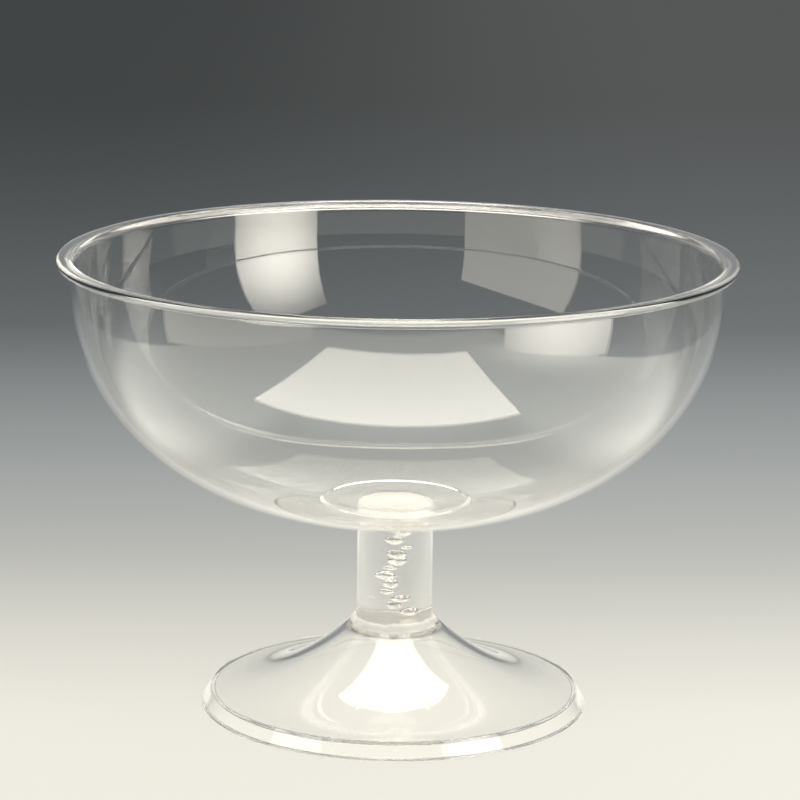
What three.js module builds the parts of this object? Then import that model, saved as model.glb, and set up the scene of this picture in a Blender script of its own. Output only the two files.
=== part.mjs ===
// Footed punch bowl in clear acrylic.
// A deep bowl with a rounded lip is cemented to a solid rod, the rod is cemented to a low boss
// on a hollow, trumpet-shaped foot, and nothing on it moves.
// Millimetres, +Z up, origin on the table under the middle of the foot.
import * as THREE from "three";

// Foot
const FOOT_RADIUS = 103.1; // bottom edge of the skirt
const FOOT_HEIGHT = 46.8; // table to the top of the boss
const FOOT_WALL = 3; // thickness of the skirt and of the trumpet
const SKIRT_HEIGHT = 8.8; // table to the crease above the skirt
const SKIRT_LEAN = 5.5; // how far the skirt leans outwards
const COLLAR_RADIUS = 24; // ledge at the top of the trumpet, round the boss
const TRUMPET_SWEEP = 2.25; // power of the trumpet's curve, 1 is a cone
const BOSS_HEIGHT = 2.9; // ledge to the top of the boss, which is as wide as the stem
const CROWN_THICKNESS = 6; // acrylic under the stem

// Stem
const STEM_RADIUS = 20.15;
const STEM_LENGTH = 56.6;
const STEM_CHAMFER = 0.5;

// Bowl
const WALL_RADIUS = 171.4; // outer face of the wall under the lip
const WALL_THICKNESS = 3; // at the lip
const WALL_FULLNESS = 2.25; // superellipse power of the wall, 2 is an ellipse
const BOWL_HEIGHT = 138.9; // flat underside to the top of the lip
const BASE_THICKNESS = 4.6; // middle of the bottom
const PAD_RADIUS = 33; // flat underside that the stem is cemented to
const RING_RADIUS = 38.3; // low ridge inside, round the flat middle of the bottom
const RING_WIDTH = 3;
const RING_HEIGHT = 0.8;
const LIP_OVERHANG = 6.6; // lip beyond the wall's outer face
const LIP_HEIGHT = 4.2;
const LIP_COVE = 1.5; // hollow round under the lip
const LIP_ROUND = 3; // width of the round from the lip's top to the inner face

// Cement
const FILM_THICKNESS = 0.4; // at each end of the stem
const FILM_MARGIN = 0.6; // kept back from the stem's edge, under the bowl
const FILM_SWELL = 0.04; // unevenness of the outline of the film under the bowl
const BEAD_HEIGHT = 3.9; // fillet round the boss and the foot of the stem, above the ledge
const BEAD_SWELL = 0.2; // unevenness of the fillet
const CEMENT_GAP = 0.3; // between the fillet and the stem's side
const CEMENT_WAVES = [[2, 0.6], [3, 2.1], [7, 4.2]]; // lobes round the axis, and their phase

// Facets
const FACETS = 64; // round the axis
const WALL_STEPS = 12;
const TRUMPET_STEPS = 9;
const ROUND_STEPS = 4;
const SAME_POINT = 1e-6;

// Heights above the table
const ledge = FOOT_HEIGHT - BOSS_HEIGHT;
const stemFoot = FOOT_HEIGHT + FILM_THICKNESS;
const stemTop = stemFoot + STEM_LENGTH;
const bowlBase = stemTop + FILM_THICKNESS;

// Points on a stretch of an ellipse, by angles in degrees from +radius towards +height
function arc(centre, radii, from, to) {
  return Array.from({ length: ROUND_STEPS + 1 }, (_, i) => {
    const angle = THREE.MathUtils.degToRad(THREE.MathUtils.lerp(from, to, i / ROUND_STEPS));
    return [centre[0] + radii[0] * Math.cos(angle), centre[1] + radii[1] * Math.sin(angle)];
  });
}

// One half section from several stretches, without the points that repeat where they meet
function section(...stretches) {
  const points = stretches.flat();
  const isNew = ([radius, height], i) => {
    const last = points[i - 1];
    return i === 0 || Math.hypot(radius - last[0], height - last[1]) > SAME_POINT;
  };
  return points.filter(isNew);
}

// Solid of revolution about +Z, from a half section of [radius, height] points
function turned(name, points, material) {
  const profile = points.map(([radius, height]) => new THREE.Vector2(radius, height));
  const geometry = new THREE.LatheGeometry(profile, FACETS);
  geometry.rotateX(Math.PI / 2);
  const mesh = new THREE.Mesh(geometry, material);
  mesh.name = name;
  return mesh;
}

// Uneven outline of cement run by hand, as a factor round the axis
function cementSwell(angle, amount) {
  const waves = CEMENT_WAVES.map(([lobes, phase]) => Math.sin(lobes * angle + phase));
  return 1 + (amount * waves.reduce((sum, wave) => sum + wave, 0)) / CEMENT_WAVES.length;
}

// Swells what lies beyond an inner radius on a turned piece of cement outwards, and upwards by
// heightShare of that
function runUneven(mesh, innerRadius, amount, heightShare) {
  const position = mesh.geometry.attributes.position;
  for (let i = 0; i < position.count; i += 1) {
    const angle = Math.atan2(position.getY(i), position.getX(i));
    const radius = Math.hypot(position.getX(i), position.getY(i));
    const swell = radius > innerRadius + SAME_POINT ? cementSwell(angle, amount) : 1;
    const swollen = innerRadius + (radius - innerRadius) * swell;
    const height = position.getZ(i) * THREE.MathUtils.lerp(1, swell, heightShare);
    position.setXYZ(i, swollen * Math.cos(angle), swollen * Math.sin(angle), height);
  }
  return mesh;
}

// Superellipse of one face of the bowl's wall, from a point on the bottom out to the upright top
function wallFace(startRadius, startHeight, topRadius, topHeight) {
  const power = 2 / WALL_FULLNESS;
  const start = Math.asin((startRadius / topRadius) ** (1 / power));
  const drop = (topHeight - startHeight) / Math.cos(start) ** power;
  return Array.from({ length: WALL_STEPS + 1 }, (_, i) => {
    const angle = THREE.MathUtils.lerp(start, Math.PI / 2, i / WALL_STEPS);
    return [topRadius * Math.sin(angle) ** power, topHeight - drop * Math.cos(angle) ** power];
  });
}

// Low ridge round the flat middle of the bottom, from its outer to its inner foot
function ridge() {
  const half = RING_WIDTH / 2;
  return Array.from({ length: 2 * ROUND_STEPS + 1 }, (_, i) => {
    const side = 1 - i / ROUND_STEPS;
    const rise = (RING_HEIGHT * (1 + Math.cos(Math.PI * side))) / 2;
    return [RING_RADIUS + half * side, BASE_THICKNESS + rise];
  });
}

// Bowl: flat pad, outer wall, cove, rounded lip, inner wall and the ridge inside
function makeBowl(material) {
  const wallTop = BOWL_HEIGHT - LIP_HEIGHT - LIP_COVE;
  const innerRadius = WALL_RADIUS - WALL_THICKNESS;
  const edge = LIP_HEIGHT / 2;
  const edgeCentre = [WALL_RADIUS + LIP_OVERHANG - edge, BOWL_HEIGHT - edge];
  const ridgeFoot = RING_RADIUS + RING_WIDTH / 2;
  const points = section(
    [[0, 0]],
    wallFace(PAD_RADIUS, 0, WALL_RADIUS, wallTop),
    arc([WALL_RADIUS + LIP_COVE, wallTop], [LIP_COVE, LIP_COVE], 180, 90),
    arc(edgeCentre, [edge, edge], -90, 90),
    arc([innerRadius + LIP_ROUND, wallTop], [LIP_ROUND, BOWL_HEIGHT - wallTop], 90, 180),
    wallFace(ridgeFoot, BASE_THICKNESS, innerRadius, wallTop).reverse(),
    ridge(),
    [[0, BASE_THICKNESS]],
  );
  return turned("bowl", points, material);
}

// Outer and inner points of the foot's trumpet, from the collar out to the crease
function trumpetFaces(crease, underside) {
  const rise = ledge - SKIRT_HEIGHT;
  const run = crease - COLLAR_RADIUS;
  const outer = [];
  const inner = [];
  for (let i = 0; i <= TRUMPET_STEPS; i += 1) {
    const share = 1 - i / TRUMPET_STEPS;
    const radius = crease - share * run;
    const height = SKIRT_HEIGHT + rise * share ** TRUMPET_SWEEP;
    const slope = (rise / run) * TRUMPET_SWEEP * share ** (TRUMPET_SWEEP - 1);
    const wall = FOOT_WALL / Math.hypot(1, slope);
    outer.push([radius, height]);
    inner.push([radius - wall * slope, Math.min(height - wall, underside)]);
  }
  return { outer, inner };
}

// Foot: hollow trumpet with a boss on top and a conical skirt below
function makeFoot(material) {
  const crease = FOOT_RADIUS - SKIRT_LEAN;
  const underside = FOOT_HEIGHT - CROWN_THICKNESS;
  const edge = FOOT_RADIUS - (FOOT_WALL * Math.hypot(SKIRT_LEAN, SKIRT_HEIGHT)) / SKIRT_HEIGHT;
  const innerHeight = SKIRT_HEIGHT - FOOT_WALL;
  const innerCrease = edge - (SKIRT_LEAN * innerHeight) / SKIRT_HEIGHT;
  const { outer, inner } = trumpetFaces(crease, underside);
  const points = section(
    [[0, underside]],
    inner.filter(([radius]) => radius < innerCrease - FOOT_WALL / 2),
    [[innerCrease, innerHeight], [edge, 0], [FOOT_RADIUS, 0]],
    outer.reverse(),
    [[STEM_RADIUS, ledge], [STEM_RADIUS, FOOT_HEIGHT], [0, FOOT_HEIGHT]],
  );
  return turned("foot", points, material);
}

// Stem: solid rod with chamfered ends
function makeStem(material) {
  const endRadius = STEM_RADIUS - STEM_CHAMFER;
  const points = section([
    [0, 0],
    [endRadius, 0],
    [STEM_RADIUS, STEM_CHAMFER],
    [STEM_RADIUS, STEM_LENGTH - STEM_CHAMFER],
    [endRadius, STEM_LENGTH],
    [0, STEM_LENGTH],
  ]);
  return turned("stem", points, material);
}

// Thin, uneven film of cement between the stem's top and the bowl's pad
function makeBowlCement(material) {
  const radius = (STEM_RADIUS - STEM_CHAMFER - FILM_MARGIN) / (1 + FILM_SWELL);
  const points = section([[0, 0], [radius, 0], [radius, FILM_THICKNESS], [0, FILM_THICKNESS]]);
  return runUneven(turned("bowl_cement", points, material), 0, FILM_SWELL, 0);
}

// Film of cement between the boss and the stem, with an uneven fillet round it on the ledge
function makeFootCement(material) {
  const inside = STEM_RADIUS + CEMENT_GAP;
  const width = (COLLAR_RADIUS - inside) / (1 + BEAD_SWELL);
  const filmTop = BOSS_HEIGHT + FILM_THICKNESS;
  const points = section(
    [[0, BOSS_HEIGHT], [inside, BOSS_HEIGHT], [inside, 0]],
    arc([inside, 0], [width, BEAD_HEIGHT], 0, 90),
    [[inside, filmTop], [0, filmTop]],
  );
  return runUneven(turned("foot_cement", points, material), inside, BEAD_SWELL, 1);
}

// Clear acrylic with a faint cream cast, and the slightly cloudier cement
const acrylic = new THREE.MeshStandardMaterial({
  color: 0xecede6,
  roughness: 0.04,
  metalness: 0,
  transparent: true,
  opacity: 0.3,
});
const cement = new THREE.MeshStandardMaterial({
  color: 0xf4f3ec,
  roughness: 0.2,
  metalness: 0,
  transparent: true,
  opacity: 0.5,
});

// Pedestal: the foot with the stem standing on its boss
const pedestal = new THREE.Group();
const foot = makeFoot(acrylic);
const stem = makeStem(acrylic);
const footCement = makeFootCement(cement);
stem.position.z = stemFoot;
footCement.position.z = ledge;
pedestal.add(foot, stem, footCement);

// Vessel: the bowl on its film of cement
const vessel = new THREE.Group();
const bowl = makeBowl(acrylic);
const bowlCement = makeBowlCement(cement);
bowlCement.position.z = -FILM_THICKNESS;
vessel.add(bowl, bowlCement);
vessel.position.z = bowlBase;

const punchBowl = new THREE.Group();
punchBowl.add(pedestal, vessel);
export default punchBowl;
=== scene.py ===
"""Clear acrylic punch bowl on a rod stem and a trumpet foot, with the studio it stands in."""

import math

import bpy
import numpy as np
from bpy.props import FloatProperty, FloatVectorProperty, IntProperty, PointerProperty
from mathutils import Matrix, Vector


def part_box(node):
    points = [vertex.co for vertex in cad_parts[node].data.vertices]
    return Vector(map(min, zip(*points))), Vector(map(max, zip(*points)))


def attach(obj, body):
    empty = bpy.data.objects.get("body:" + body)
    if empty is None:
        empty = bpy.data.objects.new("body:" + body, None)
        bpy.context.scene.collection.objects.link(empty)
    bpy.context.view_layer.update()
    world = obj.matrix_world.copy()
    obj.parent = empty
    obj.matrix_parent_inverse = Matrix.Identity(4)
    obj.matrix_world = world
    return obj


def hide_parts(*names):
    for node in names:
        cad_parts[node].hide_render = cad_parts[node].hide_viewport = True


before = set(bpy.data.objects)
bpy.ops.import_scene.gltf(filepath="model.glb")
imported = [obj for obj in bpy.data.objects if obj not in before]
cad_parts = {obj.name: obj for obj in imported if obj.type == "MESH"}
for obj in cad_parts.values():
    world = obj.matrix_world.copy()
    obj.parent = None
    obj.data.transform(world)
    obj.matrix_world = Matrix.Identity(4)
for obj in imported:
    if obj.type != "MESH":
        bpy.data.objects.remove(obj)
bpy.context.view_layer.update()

bl_info = {
    "name": "Acrylic punch bowl",
    "version": (1, 0, 0),
    "blender": (4, 5, 0),
    "location": "View3D > Sidebar > Punch Bowl",
    "description": "Builds a clear footed punch bowl and the studio it stands in",
    "category": "Object",
}

# Millimetre in Blender's metres
MM = 0.001

# Places of the pieces, from the frame
BOWL_LOW, BOWL_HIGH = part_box("bowl")
FOOT_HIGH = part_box("foot")[1]
STEM_LOW, STEM_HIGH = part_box("stem")
BEAD_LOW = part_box("foot_cement")[0]
RIM_RADIUS = BOWL_HIGH.x
FOOT_RADIUS = FOOT_HIGH.x
STEM_RADIUS = STEM_HIGH.x

# Steps of the surface grids
COLUMNS = 256
WALL_ROWS = 90
ROUND_ROWS = 12
FLAT_ROWS = 8
CORNER_ROWS = 6
BUBBLE_ROWS = 18
BUBBLE_COLUMNS = 32

# How far two cemented pieces reach into each other, so that light passes between them
CONTACT = 0.05 * MM

# Reach of the rounds on edges that have no setting of their own
BOWL_ROUND = 0.5 * MM
LEDGE_ROUND = 0.3 * MM
FILLET_ROUND = 0.15 * MM
SEAT_ROUND = 0.1 * MM

# Softness of the run from the inner face of the trumpet into the flat underside
TRUMPET_BLEND = 0.8 * MM

# Numbers of lobes of the uneven outlines, and the phase that each lobe adds
LIP_LOBES = (5, 11, 18, 31)
FILM_LOBES = (2, 3, 7, 13)
FILLET_LOBES = (2, 3, 7, 12, 19)
LOBE_PHASE = 1.7

# Width over which the lumps of the fillet set in, away from the stem
LUMP_START = 0.3 * MM

# Lumps of a bubble, and the stretch of the stem that the chain takes, as shares from the top
BUBBLE_LUMP = 0.12
CHAIN_START = 0.12
CHAIN_SPAN = 0.86

# Noise values between which the wear of the acrylic sets in, and the scale of that noise
WEAR_RANGE = (0.45, 0.85)
WEAR_SCALE = 60.0

# Depths under the rim between which the trimmed lip turns dull
LIP_RANGE = (6 * MM, 4 * MM)

# Light that a clear piece lets through to the floor
SHADOW_CAST = (0.96, 0.955, 0.94, 1)

# Floor: its radius, sides and place under the foot
FLOOR_RADIUS = 6
FLOOR_SIDES = 96
FLOOR_DROP = 0.2 * MM

# Floor: start and end of its fade along Y, a painted falloff of light from pale by the foot to dark behind,
# and where its colours lie on the way
FADE_RANGE = (-0.12, 2.4)
FADE_NEAR, FADE_MIDDLE, FADE_BACK, FADE_FAR, FADE_DARK = 0.06, 0.16, 0.27, 0.45, 1.0

# Floor: reach along X of its lighter right side, painted light from the softbox on the right, and the share
# of its look that takes no shadow
PAINTED_LIGHT_REACH = 0.4
EVEN_SHARE = 0.9

# Softness of the edges of the table
SIDE_BLUR = 0.01
FRONT_BLUR = 0.05

# Where the mirrored table glows brighter with painted light in front, at the sides, and dims again behind
# the object
FRONT_RANGE = (-0.18, -0.36)
SIDE_RANGE = (0.14, 0.29)
SIDE_SPLAY = 0.12
BACK_RANGE = (0.05, 0.27)

# Distances from the axis between which the painted light on the floor under the object ends
UNDER_RANGE = (0.12, 0.23)

# How fast the painted pool of light in front of the softbox on the right falls off, along its aim and
# across it
SPILL_RATES = (7.5, 3.5, 0)

# Directions in which the wall of the room shows: behind the object, from above the floor to some height
WALL_BEHIND = (0.0, 0.6)
WALL_FOOT = (-0.02, 0.06)
WALL_TOP = (0.3, 0.6)

# Lamp for matt surfaces
KEY_SIZE = 1.2
KEY_PLACE = (0.06, 0.0, 1.7)

# Softboxes: their middle, where they look, their size, and how much they fade across it
SOFTBOXES = {
    "overhead": {
        "place": (0.041, 0.071, 1.5),
        "aim": (-0.013, -0.237, -1),
        "size": (1.155, 1.163),
        "fade": (0, 0),
    },
    "left": {
        "place": (-0.622, -0.557, 0.315),
        "aim": (0.94, 0.33, 0),
        "size": (0.854, 0.65),
        "fade": (0, 0),
    },
    "right": {
        "place": (0.577, -0.491, 0.30),
        "aim": (-0.93, 0.37, 0),
        "size": (0.525, 1.12),
        "fade": (0.65, 1.85),
    },
}

# Width of the film that the focal length belongs to
SENSOR_WIDTH = 36

# Bounces of light inside the clear pieces, and through what is see-through
CLEAR_BOUNCES = 96
TRANSPARENT_BOUNCES = 24


def length(name, description, default):
    """A length property in metres."""
    return FloatProperty(name=name, description=description, default=default, min=0.0, unit="LENGTH")


def number(name, description, default):
    """A plain number property."""
    return FloatProperty(name=name, description=description, default=default, min=0.0)


def tilt(name, description, degrees):
    """An angle property, with its default in degrees."""
    return FloatProperty(name=name, description=description, default=math.radians(degrees), subtype="ANGLE")


def colour(name, description, default):
    """A linear colour property."""
    return FloatVectorProperty(
        name=name, description=description, default=default, size=3, min=0.0, max=1.0, subtype="COLOR"
    )


class BowlSizes(bpy.types.PropertyGroup):
    """Sizes of the bowl."""

    wall: length("Wall", "Thickness of the wall at the lip", 3 * MM)
    fullness: number("Fullness", "Superellipse power of the wall, 2 is an ellipse", 2.25)
    base: length("Base", "Thickness of the middle of the bottom", 4.6 * MM)
    pad: length("Pad", "Radius of the flat underside on the stem", 21 * MM)
    easing: length("Easing", "Softness of the run from the pad into the wall", 0.4 * MM)
    ring: length("Ring", "Radius of the low ridge inside, round the middle of the bottom", 38.3 * MM)
    ring_width: length("Ring width", "Width of the ridge", 5 * MM)
    ring_height: length("Ring height", "Height of the ridge", 0.7 * MM)
    overhang: length("Overhang", "Lip beyond the outer face of the wall", 6.6 * MM)
    lip: length("Lip", "Height of the lip", 4.2 * MM)
    cove: length("Cove", "Hollow round under the lip", 1.5 * MM)
    lip_round: length("Lip round", "Width of the round from the lip to the inner face", 3 * MM)
    waver: length("Waver", "Unevenness of the polished lip", 0.1 * MM)


class StandSizes(bpy.types.PropertyGroup):
    """Sizes of the foot, the stem and the cement."""

    wall: length("Wall", "Thickness of the foot", 3 * MM)
    skirt: length("Skirt", "Height of the skirt", 8.8 * MM)
    lean: length("Lean", "How far the skirt leans outwards", 5.5 * MM)
    collar: length("Collar", "Radius of the ledge round the boss", 24 * MM)
    crown: length("Crown", "Thickness of the foot under the stem", 6 * MM)
    sweep: number("Sweep", "Power of the curve of the trumpet, 1 is a cone", 1.9)
    edge: length("Edge", "Reach of the rounds on the edges of the skirt", 0.5 * MM)
    stem_edge: length("Stem edge", "Round of the ends of the stem", 0.5 * MM)
    bubbles: IntProperty(name="Bubbles", description="Air bubbles trapped in the stem", default=12, min=0)
    bubble: length("Bubble", "Half width of a usual bubble", 3.1 * MM)
    wander: length("Wander", "How far the chain of bubbles strays from the axis", 2.7 * MM)
    film_margin: length("Film margin", "Edge of the stem that the film leaves free", 0.9 * MM)
    film_swell: number("Film swell", "Unevenness of the outline of the film", 0.1)
    bead: length("Fillet", "Height of the fillet of cement round the stem, above the ledge", 3.9 * MM)
    bead_swell: number("Fillet swell", "Unevenness of the fillet", 0.4)


class Finish(bpy.types.PropertyGroup):
    """Look of the acrylic and of the cement."""

    tint: colour("Tint", "Cast of the clear acrylic", (0.992, 0.99, 0.979))
    smudge: colour("Smudge", "Cast where the acrylic is handled", (0.98, 0.976, 0.957))
    roughness: number("Roughness", "Roughness of the most worn acrylic", 0.02)
    lip: number("Lip", "Roughness of the trimmed lip of the bowl", 0.12)
    ripple: length("Ripple", "Depth of the moulding ripples", 0.03 * MM)
    cement: colour("Cement", "Cast of the cement", (0.98, 0.98, 0.98))
    cloud: colour("Cloud", "Cast of the thinner parts of the cement", (0.92, 0.91, 0.89))
    cement_ior: number("Cement index", "Refractive index of the cement", 1.15)
    cement_roughness: number("Cement roughness", "Roughness of the cement", 0.2)
    cement_clearness: number("Cement clearness", "Share of light that passes the cement", 0.5)


class Studio(bpy.types.PropertyGroup):
    """Floor, softboxes and camera."""

    near: colour("Near floor", "Floor round the foot", (0.81, 0.79, 0.712))
    middle: colour("Middle floor", "Floor behind the foot", (0.418, 0.423, 0.402))
    back: colour("Back floor", "Floor well behind the foot", (0.328, 0.349, 0.348))
    far: colour("Far floor", "Floor far behind", (0.091, 0.102, 0.108))
    dark: colour("Dark", "Room round the floor", (0.048, 0.051, 0.05))
    wall: colour("Wall", "Wall behind the floor, as it is mirrored", (0.3, 0.312, 0.317))
    beyond: colour("Beyond", "Room beyond the edges of the table, as it is mirrored", (0.24, 0.25, 0.24))
    lean: number("Lean", "How much lighter the middle of the floor is than its left side", 0.019)
    lamp: colour("Lamp", "Colour of the softboxes", (1.0, 0.955, 0.86))
    overhead: number("Overhead", "Brightness of the softbox above", 4.85)
    left: number("Left", "Brightness of the softbox on the left", 2.4)
    right: number("Right", "Brightness of the middle of the softbox on the right", 11.2)
    key: number("Key", "Light of the lamp that only lights matt surfaces", 6.6)
    under: number("Under", "Brightness of the table under the object, as it is seen through it", 1.27)
    surround: number("Surround", "Brightness of the table out of the picture, as it is mirrored", 2.5)
    spill: number("Spill", "Light on the table in front of the softbox on the right", 3.5)
    table: FloatVectorProperty(
        name="Table",
        description="Left and right edge of the bright table",
        default=(-0.72, 0.65),
        size=2,
        unit="LENGTH",
    )
    front: FloatProperty(name="Front", description="Front edge of the table", default=-1.2, unit="LENGTH")
    fill: number("Fill", "Light of the room on matt surfaces", 0.9)
    lens: FloatProperty(name="Lens", description="Focal length", default=149.79, unit="CAMERA")
    camera: FloatVectorProperty(
        name="Camera",
        description="Place of the camera",
        default=(0.0, -1.7129, 0.5529),
        subtype="TRANSLATION",
    )
    pitch: tilt("Pitch", "Downward look", 12.756)
    yaw: tilt("Yaw", "Sideways look", -0.06)
    roll: tilt("Roll", "Tilt", 0.655)


def straight(start, stop):
    """Points on a line, closer together near its ends: share = (1 - cos(pi t)) / 2."""
    share = (1 - np.cos(np.pi * np.linspace(0, 1, FLAT_ROWS))) / 2
    return np.outer(1 - share, start) + np.outer(share, stop)


def arc(centre, radii, start, stop):
    """Points on an ellipse: centre + radii * (cos a, sin a), by angles in degrees."""
    angle = np.radians(np.linspace(start, stop, ROUND_ROWS))
    return np.stack([centre[0] + radii[0] * np.cos(angle), centre[1] + radii[1] * np.sin(angle)], axis=1)


def wall_face(start, top, fullness):
    """Superellipse from a point on the bottom to the upright top.

    With n the fullness, radius = R sin(t)^(2/n) and height = top - drop cos(t)^(2/n), and t starts where
    the radius is that of the start point.
    """
    power = 2 / fullness
    first = math.asin((start[0] / top[0]) ** (1 / power))
    drop = (top[1] - start[1]) / math.cos(first) ** power
    angle = np.linspace(first, np.pi / 2, WALL_ROWS)
    cosine = np.clip(np.cos(angle), 0, 1)
    return np.stack([top[0] * np.sin(angle) ** power, top[1] - drop * cosine**power], axis=1)


def cut(stretch, reach):
    """A stretch without its last part, which is as long as the reach and at most 0.45 of the stretch."""
    steps = np.linalg.norm(np.diff(stretch, axis=0), axis=1)
    along = np.concatenate([[0], np.cumsum(steps)])
    stop = along[-1] - min(reach, 0.45 * along[-1])
    end = [np.interp(stop, along, stretch[:, axis]) for axis in (0, 1)]
    return np.concatenate([stretch[along < stop], [end]])


def joined(stretches, reaches):
    """One profile from stretches that share their end points, with each shared corner rounded.

    The round is the parabola (1 - t)^2 P + 2 t (1 - t) C + t^2 Q, with C the corner and P and Q on the two
    stretches, the corner's reach away from it.
    """
    t = np.linspace(0, 1, CORNER_ROWS)[1:-1, None]
    rows = [stretches[0]]
    for after, reach in zip(stretches[1:], reaches):
        corner = after[0]
        before = cut(rows.pop(), reach)
        after = cut(after[::-1], reach)[::-1]
        bend = (1 - t) ** 2 * before[-1] + 2 * t * (1 - t) * corner + t**2 * after[0]
        rows.extend([before, bend, after])
    return np.concatenate(rows)


def turns():
    """Angles of the columns round the axis."""
    return np.linspace(0, 2 * np.pi, COLUMNS, endpoint=False)


def turned(profile, out=0.0, up=0.0):
    """Rings of a profile turned about +Z: (r cos a, r sin a, z), with out and up added to r and z."""
    angle = turns()
    radius = profile[:, :1] + out
    height = profile[:, 1:] + up
    radius, height, angle = np.broadcast_arrays(radius, height, angle[None, :] + 0 * radius)
    return np.stack([radius * np.cos(angle), radius * np.sin(angle), height], axis=2)


def closed_skin(rings, low, high):
    """Points and faces of a skin closed round its rings and at its two poles."""
    rows, columns = rings.shape[:2]
    here = np.arange(rows * columns).reshape(rows, columns)
    after = np.roll(here, -1, axis=1)
    quads = np.stack([here[:-1], after[:-1], after[1:], here[1:]], axis=2).reshape(-1, 4)
    bottom = np.full(columns, rows * columns)
    under = np.stack([bottom, after[0], here[0]], axis=1)
    over = np.stack([here[-1], after[-1], bottom + 1], axis=1)
    points = np.concatenate([rings.reshape(-1, 3), [low, high]])
    return points, quads.tolist() + under.tolist() + over.tolist()


def turned_skin(profile, out=0.0, up=0.0):
    """Skin of a profile that starts and ends on the axis."""
    rings = turned(profile[1:-1], out, up)
    return closed_skin(rings, (0, 0, profile[0, 1]), (0, 0, profile[-1, 1]))


def waves(angle, lobes):
    """Mean of sines with the given numbers of lobes, each with its own phase."""
    return sum(np.sin(count * angle + LOBE_PHASE * count) for count in lobes) / len(lobes)


def add_piece(name, skins, material, node):
    """Adds one piece from its skins, in place of a node of the frame."""
    points, faces, used = [], [], 0
    for skin_points, skin_faces in skins:
        points.append(skin_points)
        faces.extend([used + index for index in face] for face in skin_faces)
        used += len(skin_points)
    mesh = bpy.data.meshes.new(name)
    mesh.from_pydata(np.concatenate(points).tolist(), [], faces)
    mesh.shade_smooth()
    mesh.materials.append(material)
    piece = bpy.data.objects.new(name, mesh)
    bpy.context.scene.collection.objects.link(piece)
    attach(piece, "root")
    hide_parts(node)


def add_node(tree, kind, **values):
    """Adds a shader node and sets its properties, or its inputs where they have that name."""
    node = tree.nodes.new(kind)
    for key, value in values.items():
        if hasattr(node, key):
            setattr(node, key, value)
        else:
            node.inputs[key.replace("_", " ")].default_value = value
    return node


def noise(tree, scale, detail):
    """Noise by place on the object."""
    place = add_node(tree, "ShaderNodeTexCoord")
    texture = add_node(tree, "ShaderNodeTexNoise", Scale=scale, Detail=detail)
    tree.links.new(place.outputs["Object"], texture.inputs["Vector"])
    return texture.outputs["Fac"]


def clear_material(
    name, tint, smudge, smudge_scale, roughness, lip, ripple, ripple_scale, transmission, ior
):
    """Clear plastic with a smudged tint, wear, a duller lip and ripples. Lamps shine through it."""
    material = bpy.data.materials.get(name)
    if material:
        return material
    material = bpy.data.materials.new(name)
    material.use_nodes = True
    tree = material.node_tree
    tree.nodes.clear()
    link = tree.links.new
    surface = add_node(tree, "ShaderNodeBsdfPrincipled", IOR=ior, Transmission_Weight=transmission)
    smudges = noise(tree, smudge_scale, 4.0)
    cast = add_node(tree, "ShaderNodeMix", data_type="RGBA")
    cast.inputs[6].default_value = (*tint, 1)
    cast.inputs[7].default_value = (*smudge, 1)
    link(smudges, cast.inputs["Factor"])
    link(cast.outputs[2], surface.inputs["Base Color"])
    wear = add_node(tree, "ShaderNodeMapRange")
    wear.inputs["From Min"].default_value, wear.inputs["From Max"].default_value = WEAR_RANGE
    wear.inputs["To Max"].default_value = roughness
    link(noise(tree, WEAR_SCALE, 6.0), wear.inputs["Value"])
    place = add_node(tree, "ShaderNodeTexCoord")
    axes = add_node(tree, "ShaderNodeSeparateXYZ")
    on_lip = add_node(tree, "ShaderNodeMapRange")
    on_lip.inputs["From Min"].default_value = BOWL_HIGH.z - LIP_RANGE[0]
    on_lip.inputs["From Max"].default_value = BOWL_HIGH.z - LIP_RANGE[1]
    on_lip.inputs["To Max"].default_value = lip
    dull = add_node(tree, "ShaderNodeMath", operation="MAXIMUM")
    link(place.outputs["Object"], axes.inputs[0])
    link(axes.outputs["Z"], on_lip.inputs["Value"])
    link(on_lip.outputs["Result"], dull.inputs[0])
    link(wear.outputs["Result"], dull.inputs[1])
    link(dull.outputs[0], surface.inputs["Roughness"])
    bump = add_node(tree, "ShaderNodeBump", Distance=ripple)
    link(noise(tree, ripple_scale, 1.0), bump.inputs["Height"])
    link(bump.outputs["Normal"], surface.inputs["Normal"])
    path = add_node(tree, "ShaderNodeLightPath")
    through = add_node(tree, "ShaderNodeBsdfTransparent", Color=SHADOW_CAST)
    mix = add_node(tree, "ShaderNodeMixShader")
    output = add_node(tree, "ShaderNodeOutputMaterial")
    link(path.outputs["Is Shadow Ray"], mix.inputs[0])
    link(surface.outputs[0], mix.inputs[1])
    link(through.outputs[0], mix.inputs[2])
    link(mix.outputs[0], output.inputs["Surface"])
    return material


def acrylic(finish):
    """Clear acrylic of the bowl, stem and foot."""
    return clear_material(
        "polished_acrylic",
        tint=finish.tint,
        smudge=finish.smudge,
        smudge_scale=26.0,
        roughness=finish.roughness,
        lip=finish.lip,
        ripple=finish.ripple,
        ripple_scale=22.0,
        transmission=1.0,
        ior=1.49,
    )


def cement(finish):
    """Cloudy cement that lets a share of the light through."""
    return clear_material(
        "joint_cement",
        tint=finish.cement,
        smudge=finish.cloud,
        smudge_scale=240.0,
        roughness=finish.cement_roughness,
        lip=0.0,
        ripple=8 * finish.ripple,
        ripple_scale=260.0,
        transmission=finish.cement_clearness,
        ior=finish.cement_ior,
    )


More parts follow.
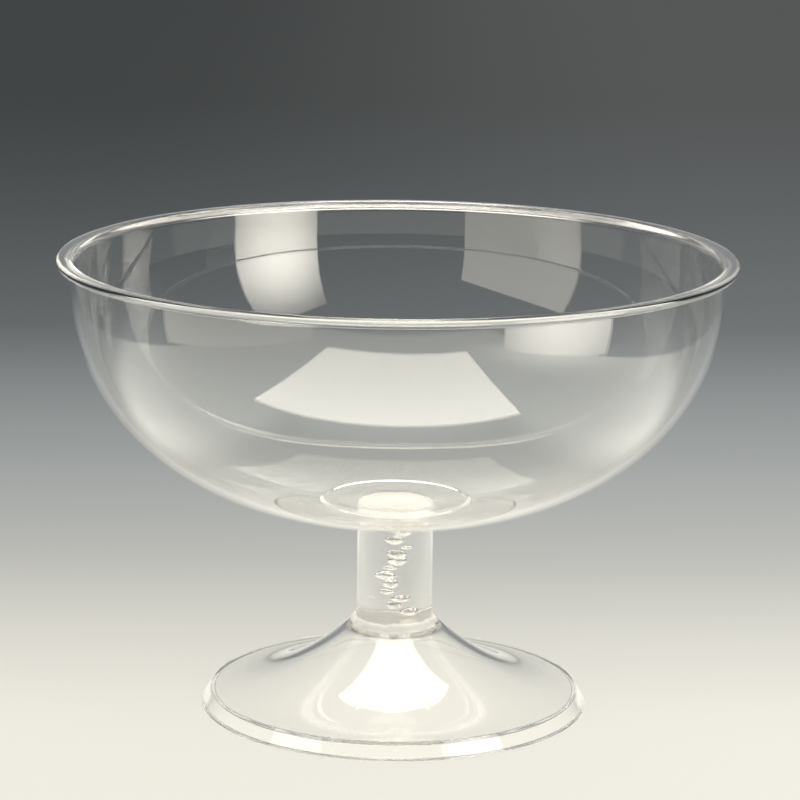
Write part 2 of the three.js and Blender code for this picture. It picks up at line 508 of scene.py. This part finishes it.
class PUNCHBOWL_OT_bowl(bpy.types.Operator):
    """Build the bowl with its lip, its pad and the ridge inside"""

    bl_idname = "punchbowl.bowl"
    bl_label = "Bowl"

    def eased(self, face, base, sizes):
        """Lifts the start of the outer face off the pad without a crease.

        Height = base + rise + e (exp(-rise / e) - 1), with rise the height above the pad and e the easing.
        """
        rise = face[:, 1] - base
        lift = rise + sizes.easing * (np.exp(-rise / sizes.easing) - 1)
        return np.stack([face[:, 0], base + lift * rise[-1] / lift[-1]], axis=1)

    def execute(self, context):
        sizes = context.scene.punchbowl_bowl
        base, top = BOWL_LOW.z, BOWL_HIGH.z
        outside = RIM_RADIUS - sizes.overhang
        inside = outside - sizes.wall
        wall_top = top - sizes.lip - sizes.cove
        edge = sizes.lip / 2
        floor = base + sizes.base
        half = sizes.ring_width / 2
        pad = np.array([sizes.pad, base])
        outer = self.eased(wall_face(pad, (outside, wall_top), sizes.fullness), base, sizes)
        inner = wall_face((sizes.ring + half, floor), (inside, wall_top), sizes.fullness)[::-1]
        cove = arc((outside + sizes.cove, wall_top), (sizes.cove, sizes.cove), 180, 90)
        bead = arc((RIM_RADIUS - edge, top - edge), (edge, edge), -90, 90)
        bend = arc((inside + sizes.lip_round, wall_top), (sizes.lip_round, top - wall_top), 90, 180)
        side = np.linspace(1, -1, 2 * ROUND_ROWS)
        rise = sizes.ring_height * (1 + np.cos(np.pi * side)) / 2
        ridge = np.stack([sizes.ring + half * side, floor + rise], axis=1)
        profile = joined(
            [
                straight((0, base), pad),
                outer,
                cove,
                straight(cove[-1], bead[0]),
                bead,
                straight(bead[-1], bend[0]),
                bend,
                inner,
                ridge,
                straight(ridge[-1], (0, floor)),
            ],
            9 * [BOWL_ROUND],
        )
        on_lip = np.clip((profile[1:-1, 1:] - wall_top) / (top - wall_top), 0, 1)
        uneven = sizes.waver * on_lip * waves(turns(), LIP_LOBES)[None, :]
        skin = turned_skin(profile, uneven, 0.5 * uneven)
        material = acrylic(context.scene.punchbowl_finish)
        add_piece("bowl_shell", [skin], material, "bowl")
        return {"FINISHED"}


class PUNCHBOWL_OT_stem(bpy.types.Operator):
    """Build the rod stem with the chain of air bubbles in it"""

    bl_idname = "punchbowl.stem"
    bl_label = "Stem"

    def bubble(self, centre, radii, seed):
        """Lumpy ball of air, its faces turned inwards: radius = 1 + lump sin(3 a + s) sin(2 b + s)."""
        polar = np.linspace(0, np.pi, BUBBLE_ROWS)[1:-1, None]
        angle = np.linspace(0, 2 * np.pi, BUBBLE_COLUMNS, endpoint=False)[None, ::-1]
        swell = 1 + BUBBLE_LUMP * np.sin(3 * angle + seed) * np.sin(2 * polar + seed)
        ball = np.stack(
            [
                swell * np.sin(polar) * np.cos(angle),
                swell * np.sin(polar) * np.sin(angle),
                -swell * np.cos(polar) + 0 * angle,
            ],
            axis=2,
        )
        low = centre - np.array([0, 0, radii[2]])
        high = centre + np.array([0, 0, radii[2]])
        return closed_skin(centre + ball * radii, low, high)

    def chain(self, sizes, low, high):
        """The bubbles, evenly spaced down the stem. Sines of the bubble's number set its sway and size."""
        for index in range(sizes.bubbles):
            share = (index + 0.5) / sizes.bubbles
            sway = math.sin(0.7 * index + 0.2) + 0.9 * math.sin(2.9 * index + 1.25)
            side = math.sin(5.3 * index)
            height = high + (low - high) * (CHAIN_START + CHAIN_SPAN * share)
            centre = np.array([sizes.wander * sway, sizes.wander * side, height])
            size = sizes.bubble * (1 + 0.2 * math.sin(2.3 * index))
            radii = size * np.array([1.0, 0.9, 0.64 + 0.2 * math.sin(1.9 * index + 1)])
            yield self.bubble(centre, radii, 1.3 * index)

    def execute(self, context):
        sizes = context.scene.punchbowl_stand
        low, high = STEM_LOW.z, STEM_HIGH.z
        profile = joined(
            [
                straight((0, low), (STEM_RADIUS, low)),
                straight((STEM_RADIUS, low), (STEM_RADIUS, high)),
                straight((STEM_RADIUS, high), (0, high)),
            ],
            2 * [sizes.stem_edge],
        )
        skins = [turned_skin(profile), *self.chain(sizes, low, high)]
        material = acrylic(context.scene.punchbowl_finish)
        add_piece("stem_rod", skins, material, "stem")
        return {"FINISHED"}


class PUNCHBOWL_OT_foot(bpy.types.Operator):
    """Build the hollow trumpet foot with its skirt and the boss that the stem stands on"""

    bl_idname = "punchbowl.foot"
    bl_label = "Foot"

    def trumpet(self, sizes, crease, ledge, underside):
        """Outer and inner faces of the trumpet, from the collar out to the crease above the skirt.

        Height = crease + rise share^sweep, where share is 0 at the crease and 1 at the collar. The inner
        face lies one wall away along the normal, and runs softly into the flat underside.
        """
        share = np.linspace(1, 0, WALL_ROWS)
        rise = ledge - crease[1]
        run = crease[0] - sizes.collar
        radius = crease[0] - share * run
        height = crease[1] + rise * share**sizes.sweep
        slope = rise / run * sizes.sweep * share ** (sizes.sweep - 1)
        wall = sizes.wall / np.hypot(1, slope)
        under = -TRUMPET_BLEND * np.logaddexp((wall - height) / TRUMPET_BLEND, -underside / TRUMPET_BLEND)
        return np.stack([radius, height], axis=1)[::-1], np.stack([radius - wall * slope, under], axis=1)

    def execute(self, context):
        sizes = context.scene.punchbowl_stand
        top = FOOT_HIGH.z
        ledge = BEAD_LOW.z
        skirt, lean = sizes.skirt, sizes.lean
        crease = np.array([FOOT_RADIUS - lean, skirt])
        edge = FOOT_RADIUS - sizes.wall * math.hypot(lean, skirt) / skirt
        inner_skirt = skirt - sizes.wall
        inner_crease = np.array([edge - lean * inner_skirt / skirt, inner_skirt])
        outer, inner = self.trumpet(sizes, crease, ledge, top - sizes.crown)
        inner = inner[inner[:, 0] < inner_crease[0] - sizes.wall / 4]
        profile = joined(
            [
                straight((0, inner[0, 1]), inner[0]),
                np.concatenate([inner, [inner_crease]]),
                straight(inner_crease, (edge, 0)),
                straight((edge, 0), (FOOT_RADIUS, 0)),
                straight((FOOT_RADIUS, 0), crease),
                outer,
                straight(outer[-1], (STEM_RADIUS, ledge)),
                straight((STEM_RADIUS, ledge), (STEM_RADIUS, top)),
                straight((STEM_RADIUS, top), (0, top)),
            ],
            [SEAT_ROUND] + 4 * [sizes.edge] + [LEDGE_ROUND] + 2 * [SEAT_ROUND],
        )
        material = acrylic(context.scene.punchbowl_finish)
        add_piece("trumpet_foot", [turned_skin(profile)], material, "foot")
        return {"FINISHED"}


class PUNCHBOWL_OT_cement(bpy.types.Operator):
    """Build the film of cement under the bowl and the fillet of cement round the stem"""

    bl_idname = "punchbowl.cement"
    bl_label = "Cement"

    def execute(self, context):
        sizes = context.scene.punchbowl_stand
        material = cement(context.scene.punchbowl_finish)
        angle = turns()

        # Film with a ragged outline, in touch with the stem and the bowl
        low, high = STEM_HIGH.z - CONTACT, BOWL_LOW.z + CONTACT
        radius = (STEM_RADIUS - sizes.film_margin) / (1 + sizes.film_swell)
        film = joined(
            [
                straight((0, low), (radius, low)),
                straight((radius, low), (radius, high)),
                straight((radius, high), (0, high)),
            ],
            2 * [SEAT_ROUND],
        )
        ragged = sizes.film_swell * waves(angle, FILM_LOBES)[None, :] * film[1:-1, :1]
        add_piece("cement_film", [turned_skin(film, ragged)], material, "bowl_cement")

        # Film under the stem, and the lumpy fillet round it on the ledge of the foot
        inner, ledge = STEM_RADIUS - CONTACT, BEAD_LOW.z - CONTACT
        low, high = FOOT_HIGH.z - CONTACT, STEM_LOW.z + CONTACT
        width = (sizes.collar - inner) / (1 + sizes.bead_swell)
        fillet = arc((inner, ledge), (width, sizes.bead), 0, 90)
        section = joined(
            [
                straight((0, low), (inner, low)),
                straight((inner, low), (inner, ledge)),
                straight((inner, ledge), fillet[0]),
                fillet,
                straight(fillet[-1], (inner, high)),
                straight((inner, high), (0, high)),
            ],
            5 * [FILLET_ROUND],
        )
        beyond = np.clip(section[1:-1, :1] - inner, 0, None)
        lumps = sizes.bead_swell * waves(angle, FILLET_LOBES)[None, :]
        up = (section[1:-1, 1:] - ledge) * np.clip(beyond / LUMP_START, 0, 1) * lumps
        skin = turned_skin(section, beyond * lumps, up)
        add_piece("cement_fillet", [skin], material, "foot_cement")
        return {"FINISHED"}


class PUNCHBOWL_OT_stage(bpy.types.Operator):
    """Build the floor, the softboxes, the room and the camera"""

    bl_idname = "punchbowl.stage"
    bl_label = "Studio"

    def floor_material(self, studio):
        """Paper with painted falloff of light: its colour fades from pale to dark behind the object. Mostly
        even light, and some real shadow.
        """
        material = bpy.data.materials.new("floor_paper")
        material.use_nodes = True
        tree = material.node_tree
        tree.nodes.clear()
        link = tree.links.new
        place = add_node(tree, "ShaderNodeTexCoord")
        axes = add_node(tree, "ShaderNodeSeparateXYZ")
        spread = add_node(tree, "ShaderNodeMapRange")
        spread.inputs["From Min"].default_value, spread.inputs["From Max"].default_value = FADE_RANGE
        # Painted falloff of light: the ramp darkens the floor along Y, from the near colour by the foot to
        # the dark room behind
        ramp = add_node(tree, "ShaderNodeValToRGB")
        ramp.color_ramp.interpolation = "B_SPLINE"
        # Painted light from the softbox on the right: white is added to the floor's colour, more towards +X
        lean = add_node(tree, "ShaderNodeMix", data_type="RGBA", blend_type="ADD")
        lean.inputs[7].default_value = (1, 1, 1, 1)
        stops = ramp.color_ramp.elements
        stops[0].position, stops[0].color = FADE_NEAR, (*studio.near, 1)
        stops[1].position, stops[1].color = FADE_DARK, (*studio.dark, 1)
        between = ((FADE_MIDDLE, studio.middle), (FADE_BACK, studio.back), (FADE_FAR, studio.far))
        for position, shade in between:
            stop = stops.new(position)
            stop.color = (*shade, 1)
        link(place.outputs["Object"], axes.inputs[0])
        link(axes.outputs["Y"], spread.inputs["Value"])
        link(spread.outputs["Result"], ramp.inputs["Fac"])
        across = self.spread(tree, axes.outputs["X"], (-PAINTED_LIGHT_REACH, PAINTED_LIGHT_REACH), 0, 2 * studio.lean)
        link(across, lean.inputs["Factor"])
        link(ramp.outputs["Color"], lean.inputs[6])
        path = add_node(tree, "ShaderNodeLightPath")
        even = add_node(tree, "ShaderNodeEmission")
        matt = add_node(tree, "ShaderNodeBsdfDiffuse")
        beyond = add_node(tree, "ShaderNodeMix", data_type="RGBA")
        beyond.inputs[6].default_value = (*studio.beyond, 1)
        link(self.on_table(tree, axes, path, studio), beyond.inputs["Factor"])
        link(lean.outputs[2], beyond.inputs[7])
        link(beyond.outputs[2], even.inputs["Color"])
        link(beyond.outputs[2], matt.inputs["Color"])
        link(self.painted_floor_glow(tree, place, axes, path, studio), even.inputs["Strength"])
        share = add_node(tree, "ShaderNodeMapRange")
        share.inputs["To Min"].default_value = EVEN_SHARE
        share.inputs["To Max"].default_value = 0.0
        link(path.outputs["Is Diffuse Ray"], share.inputs["Value"])
        mix = add_node(tree, "ShaderNodeMixShader")
        output = add_node(tree, "ShaderNodeOutputMaterial")
        link(share.outputs["Result"], mix.inputs[0])
        link(matt.outputs[0], mix.inputs[1])
        link(even.outputs[0], mix.inputs[2])
        link(mix.outputs[0], output.inputs["Surface"])
        return material

    def spread(self, tree, source, span, low, high):
        """Runs smoothly from low to high while a value goes from one end of a span to the other."""
        node = add_node(tree, "ShaderNodeMapRange", interpolation_type="SMOOTHSTEP")
        node.inputs["From Min"].default_value, node.inputs["From Max"].default_value = span
        node.inputs["To Min"].default_value = low
        node.inputs["To Max"].default_value = high
        tree.links.new(source, node.inputs["Value"])
        return node.outputs["Result"]

    def combine(self, tree, operation, first, second):
        """A sum, product or the like of two values."""
        node = add_node(tree, "ShaderNodeMath", operation=operation)
        for socket, value in zip(node.inputs, (first, second)):
            if isinstance(value, float):
                socket.default_value = value
            else:
                tree.links.new(value, socket)
        return node.outputs[0]

    def mirrored(self, tree, path):
        """1 for rays that a face has mirrored on their way, 0 for rays that only passed through."""
        return self.combine(tree, "MINIMUM", path.outputs["Glossy Depth"], 1.0)

    def edge(self, place, blur):
        """The span over which an edge fades."""
        return place - blur, place + blur

    def on_table(self, tree, axes, path, studio):
        """1 on the table, or where no face mirrored the ray. 0 beyond its left, right and front edge."""
        direct = self.combine(tree, "SUBTRACT", 1.0, self.mirrored(tree, path))
        left = self.spread(tree, axes.outputs["X"], self.edge(studio.table[0], SIDE_BLUR), 0, 1)
        right = self.spread(tree, axes.outputs["X"], self.edge(studio.table[1], SIDE_BLUR), 1, 0)
        front = self.spread(tree, axes.outputs["Y"], self.edge(studio.front, FRONT_BLUR), 0, 1)
        inside = self.combine(tree, "MULTIPLY", self.combine(tree, "MULTIPLY", left, right), front)
        return self.combine(tree, "MAXIMUM", inside, direct)

    def painted_floor_glow(self, tree, place, axes, path, studio):
        """Brightness of the floor.

        It is 1 for the camera. For every other ray the floor glows brighter under the object as painted
        light. Mirrored rays also see a painted brighter table in front of it and at its sides, with a
        painted pool of spill from the softbox on the right.
        """
        front = self.spread(tree, axes.outputs["Y"], FRONT_RANGE, 0, 1)
        aside = self.combine(tree, "ABSOLUTE", axes.outputs["X"], 0.0)
        splay = self.combine(tree, "MULTIPLY", axes.outputs["Y"], SIDE_SPLAY)
        aside = self.combine(tree, "SUBTRACT", aside, splay)
        either = self.combine(tree, "MAXIMUM", front, self.spread(tree, aside, SIDE_RANGE, 0, 1))
        before = self.spread(tree, axes.outputs["Y"], BACK_RANGE, 1, 0)
        either = self.combine(tree, "MULTIPLY", either, before)
        away = add_node(tree, "ShaderNodeVectorMath", operation="LENGTH")
        tree.links.new(place.outputs["Object"], away.inputs[0])
        # Painted light: the floor under the object glows brighter for every ray but the camera's
        under = self.spread(tree, away.outputs["Value"], UNDER_RANGE, studio.under - 1, 0)
        mirrored = self.mirrored(tree, path)
        around = self.spread(tree, either, (0, 1), 0, studio.surround - 1)
        lit = self.combine(tree, "MAXIMUM", under, self.combine(tree, "MULTIPLY", around, mirrored))
        # Painted pool of light from the softbox on the right, seen only in mirrored rays
        spilt = self.combine(tree, "MULTIPLY", self.spill(tree, place, studio), mirrored)
        lit = self.combine(tree, "ADD", lit, spilt)
        unseen = self.combine(tree, "SUBTRACT", 1.0, path.outputs["Is Camera Ray"])
        return self.combine(tree, "ADD", self.combine(tree, "MULTIPLY", lit, unseen), 1.0)

    def bell(self, tree, vector, rates):
        """Falls off from a middle: exp(-|rates * vector|^2)."""
        scaled = add_node(tree, "ShaderNodeVectorMath", operation="MULTIPLY")
        scaled.inputs[1].default_value = rates
        squared = add_node(tree, "ShaderNodeVectorMath", operation="DOT_PRODUCT")
        tree.links.new(vector, scaled.inputs[0])
        tree.links.new(scaled.outputs[0], squared.inputs[0])
        tree.links.new(scaled.outputs[0], squared.inputs[1])
        falling = self.combine(tree, "MULTIPLY", squared.outputs["Value"], -1.0)
        return self.combine(tree, "EXPONENT", falling, 0.0)

    def spill(self, tree, place, studio):
        """Painted pool of light on the table in front of the softbox on the right, as a bell turned to the
        softbox.
        """
        middle, aim = SOFTBOXES["right"]["place"], SOFTBOXES["right"]["aim"]
        turned_place = add_node(tree, "ShaderNodeMapping", vector_type="TEXTURE")
        turned_place.inputs["Location"].default_value = (middle[0], middle[1], 0)
        turned_place.inputs["Rotation"].default_value = (0, 0, math.atan2(aim[1], aim[0]))
        tree.links.new(place.outputs["Object"], turned_place.inputs["Vector"])
        bell = self.bell(tree, turned_place.outputs[0], SPILL_RATES)
        return self.combine(tree, "MULTIPLY", bell, float(studio.spill))

    def add_floor(self, context, studio):
        """Round floor just under the foot."""
        angle = np.linspace(0, 2 * np.pi, FLOOR_SIDES, endpoint=False)
        across, along = FLOOR_RADIUS * np.cos(angle), FLOOR_RADIUS * np.sin(angle)
        points = np.stack([across, along, np.full(FLOOR_SIDES, -FLOOR_DROP)], axis=1)
        mesh = bpy.data.meshes.new("floor")
        mesh.from_pydata(points.tolist(), [], [list(range(FLOOR_SIDES))])
        mesh.materials.append(self.floor_material(studio))
        floor = bpy.data.objects.new("floor", mesh)
        context.scene.collection.objects.link(floor)

    def add_softbox(self, context, name, place, aim, size, brightness, fade):
        """One-sided glowing panel that only shows where a face mirrors it.

        Brightness = brightness exp(-(fade_u u^2 + fade_v v^2)), with u and v from -1 to 1 across the panel.
        """
        material = bpy.data.materials.new(name)
        material.use_nodes = True
        material.cycles.emission_sampling = "NONE"
        tree = material.node_tree
        tree.nodes.clear()
        link = tree.links.new
        place_on = add_node(tree, "ShaderNodeTexCoord")
        rates = [2 / width * math.sqrt(rate) for width, rate in zip(size, fade)] + [0]
        bell = self.bell(tree, place_on.outputs["Object"], rates)
        glow = self.combine(tree, "MULTIPLY", bell, float(brightness))
        face = add_node(tree, "ShaderNodeEmission", Color=(*context.scene.punchbowl_studio.lamp, 1))
        link(glow, face.inputs["Strength"])
        side = add_node(tree, "ShaderNodeNewGeometry")
        path = add_node(tree, "ShaderNodeLightPath")
        direct = self.combine(tree, "SUBTRACT", 1.0, self.mirrored(tree, path))
        hidden = self.combine(tree, "MAXIMUM", side.outputs["Backfacing"], direct)
        behind = add_node(tree, "ShaderNodeBsdfTransparent")
        mix = add_node(tree, "ShaderNodeMixShader")
        output = add_node(tree, "ShaderNodeOutputMaterial")
        link(hidden, mix.inputs[0])
        link(face.outputs[0], mix.inputs[1])
        link(behind.outputs[0], mix.inputs[2])
        link(mix.outputs[0], output.inputs["Surface"])
        u, v = size[0] / 2, size[1] / 2
        mesh = bpy.data.meshes.new(name)
        mesh.from_pydata([(-u, -v, 0), (-u, v, 0), (u, v, 0), (u, -v, 0)], [], [[0, 1, 2, 3]])
        mesh.materials.append(material)
        panel = bpy.data.objects.new(name, mesh)
        panel.location = place
        panel.rotation_euler = Vector(aim).to_track_quat("-Z", "Y").to_euler()
        panel.visible_camera = False
        panel.visible_diffuse = False
        panel.visible_shadow = False
        context.scene.collection.objects.link(panel)

    def add_key(self, context, studio):
        """Lamp above that only lights matt surfaces: power = brightness * pi * area."""
        light = bpy.data.lights.new("key", "AREA")
        light.size = KEY_SIZE
        light.energy = studio.key * math.pi * light.size**2
        light.color = studio.lamp
        lamp = bpy.data.objects.new("key", light)
        lamp.location = KEY_PLACE
        lamp.visible_camera = False
        lamp.visible_glossy = False
        lamp.visible_transmission = False
        context.scene.collection.objects.link(lamp)

    def add_world(self, context, studio):
        """Dark room, paler above the floor behind the object, and an even fill for matt surfaces."""
        world = bpy.data.worlds.new("room")
        context.scene.world = world
        world.use_nodes = True
        tree = world.node_tree
        tree.nodes.clear()
        link = tree.links.new
        path = add_node(tree, "ShaderNodeLightPath")
        way = add_node(tree, "ShaderNodeTexCoord")
        axes = add_node(tree, "ShaderNodeSeparateXYZ")
        behind = self.spread(tree, axes.outputs["Y"], WALL_BEHIND, 0, 1)
        above = self.spread(tree, axes.outputs["Z"], WALL_FOOT, 0, 1)
        below = self.spread(tree, axes.outputs["Z"], WALL_TOP, 1, 0)
        room = add_node(tree, "ShaderNodeMix", data_type="RGBA")
        room.inputs[6].default_value = (*studio.dark, 1)
        room.inputs[7].default_value = (*studio.wall, 1)
        seen = add_node(tree, "ShaderNodeBackground")
        link(way.outputs["Generated"], axes.inputs[0])
        band = self.combine(tree, "MULTIPLY", above, below)
        link(self.combine(tree, "MULTIPLY", behind, band), room.inputs["Factor"])
        link(room.outputs[2], seen.inputs["Color"])
        fill = add_node(tree, "ShaderNodeBackground", Color=(1, 1, 1, 1), Strength=studio.fill)
        mix = add_node(tree, "ShaderNodeMixShader")
        output = add_node(tree, "ShaderNodeOutputWorld")
        link(path.outputs["Is Diffuse Ray"], mix.inputs[0])
        link(seen.outputs[0], mix.inputs[1])
        link(fill.outputs[0], mix.inputs[2])
        link(mix.outputs[0], output.inputs["Surface"])

    def add_camera(self, context, studio):
        """Camera where the photo was taken from."""
        data = bpy.data.cameras.new("camera")
        data.sensor_width = SENSOR_WIDTH
        data.lens = studio.lens
        camera = bpy.data.objects.new("camera", data)
        turn = (
            Matrix.Rotation(studio.yaw, 4, "Z")
            @ Matrix.Rotation(math.pi / 2 - studio.pitch, 4, "X")
            @ Matrix.Rotation(studio.roll, 4, "Z")
        )
        camera.matrix_world = Matrix.Translation(studio.camera) @ turn
        context.scene.collection.objects.link(camera)
        context.scene.camera = camera

    def execute(self, context):
        scene = context.scene
        studio = scene.punchbowl_studio
        self.add_floor(context, studio)
        self.add_world(context, studio)
        self.add_camera(context, studio)
        self.add_key(context, studio)
        for name, softbox in SOFTBOXES.items():
            self.add_softbox(context, name, brightness=getattr(studio, name), **softbox)
        scene.view_settings.view_transform = "Standard"
        scene.cycles.max_bounces = CLEAR_BOUNCES
        scene.cycles.transmission_bounces = CLEAR_BOUNCES
        scene.cycles.glossy_bounces = CLEAR_BOUNCES
        scene.cycles.transparent_max_bounces = TRANSPARENT_BOUNCES
        return {"FINISHED"}


class PUNCHBOWL_PT_panel(bpy.types.Panel):
    """Lists the pieces and the studio"""

    bl_idname = "PUNCHBOWL_PT_panel"
    bl_label = "Punch Bowl"
    bl_space_type = "VIEW_3D"
    bl_region_type = "UI"
    bl_category = "Punch Bowl"

    def draw(self, context):
        for operator in OPERATORS:
            self.layout.operator(operator.bl_idname)
        for name in GROUPS:
            box = self.layout.box()
            group = getattr(context.scene, name)
            for key in group.bl_rna.properties.keys():
                if key not in ("rna_type", "name"):
                    box.prop(group, key)


GROUPS = {
    "punchbowl_bowl": BowlSizes,
    "punchbowl_stand": StandSizes,
    "punchbowl_finish": Finish,
    "punchbowl_studio": Studio,
}
OPERATORS = (
    PUNCHBOWL_OT_bowl,
    PUNCHBOWL_OT_stem,
    PUNCHBOWL_OT_foot,
    PUNCHBOWL_OT_cement,
    PUNCHBOWL_OT_stage,
)


def register():
    """Registers the classes and puts their settings on the scene."""
    for item in (*GROUPS.values(), *OPERATORS, PUNCHBOWL_PT_panel):
        bpy.utils.register_class(item)
    for name, group in GROUPS.items():
        setattr(bpy.types.Scene, name, PointerProperty(type=group))


def unregister():
    """Takes the settings and the classes away again."""
    for name in GROUPS:
        delattr(bpy.types.Scene, name)
    for item in (PUNCHBOWL_PT_panel, *OPERATORS, *GROUPS.values()):
        bpy.utils.unregister_class(item)


def main():
    """Builds everything."""
    register()
    bpy.ops.punchbowl.bowl()
    bpy.ops.punchbowl.stem()
    bpy.ops.punchbowl.foot()
    bpy.ops.punchbowl.cement()
    bpy.ops.punchbowl.stage()


if __name__ == "__main__":
    main()
